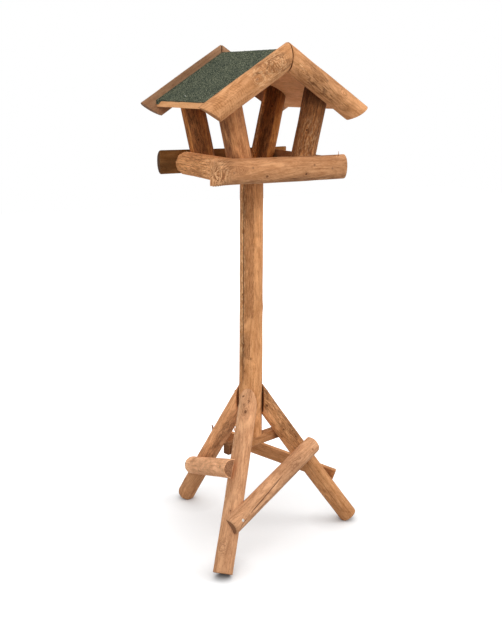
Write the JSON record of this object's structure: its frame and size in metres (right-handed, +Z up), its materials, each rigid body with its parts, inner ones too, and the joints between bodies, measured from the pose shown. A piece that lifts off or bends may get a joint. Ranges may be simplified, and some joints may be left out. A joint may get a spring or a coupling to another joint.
{
  "type": "bird table",
  "caption": "Free-standing rustic bird table: log post on a braced tripod, log-edged feeding tray under a felted gable roof on leaning pillars.",
  "frame": {"origin": "middle of the footprint box at ground level", "axes": "+Z up; +X along the long tray rails, to the right seen from the front; +Y along the ridge, from the front to the back"},
  "size_m": [0.4848, 0.4662, 1.2039],
  "materials": {
    "peeled_log": "peeled round wood, bark remnants, dull",
    "pale_log": "sawn half-round wood, dull",
    "dark_log": "peeled round wood with inner bark left on, dull",
    "smooth_board": "smooth sawn board, dull",
    "roofing_felt": "green mineral granules, matt",
    "nail_steel": "bright wire nail"
  },
  "bodies": {
    "root": {"barge_back_left": "pale_log", "barge_back_right": "pale_log", "barge_front_left": "pale_log", "barge_front_right": "pale_log", "batten": "pale_log", "brace_back": "pale_log", "brace_front": "pale_log", "brace_left": "pale_log", "leg_front": "peeled_log", "leg_left": "peeled_log", "leg_right": "peeled_log", "nail_barge_back_left": "nail_steel", "nail_barge_back_right": "nail_steel", "nail_barge_front_left": "nail_steel", "nail_barge_front_right": "nail_steel", "nail_batten_front": "nail_steel", "nail_batten_right": "nail_steel", "nail_brace_back_high": "nail_steel", "nail_brace_back_low": "nail_steel", "nail_brace_front_high": "nail_steel", "nail_brace_front_low": "nail_steel", "nail_brace_left_high": "nail_steel", "nail_brace_left_low": "nail_steel", "nail_corner_back_left": "nail_steel", "nail_corner_back_right": "nail_steel", "nail_corner_front_left": "nail_steel", "nail_corner_front_right": "nail_steel", "nail_floor_left": "nail_steel", "nail_floor_right": "nail_steel", "nail_leg_front_lower": "nail_steel", "nail_leg_front_upper": "nail_steel", "nail_leg_left_lower": "nail_steel", "nail_leg_left_upper": "nail_steel", "nail_leg_right_lower": "nail_steel", "nail_leg_right_upper": "nail_steel", "nail_pillar_back_left": "nail_steel", "nail_pillar_back_right": "nail_steel", "nail_pillar_front_left": "nail_steel", "nail_pillar_front_right": "nail_steel", "nail_post_left": "nail_steel", "nail_post_right": "nail_steel", "nail_roof_back_left": "nail_steel", "nail_roof_back_right": "nail_steel", "nail_roof_front_left": "nail_steel", "nail_roof_front_right": "nail_steel", "pillar_back_left": "dark_log", "pillar_back_right": "dark_log", "pillar_front_left": "dark_log", "pillar_front_right": "dark_log", "post": "peeled_log", "rail_back": "peeled_log", "rail_front": "peeled_log", "rail_left": "peeled_log", "rail_right": "peeled_log", "roof_board_left": "smooth_board", "roof_board_right": "smooth_board", "roof_felt": "roofing_felt", "tray_floor": "smooth_board"}
  },
  "joints": []
}
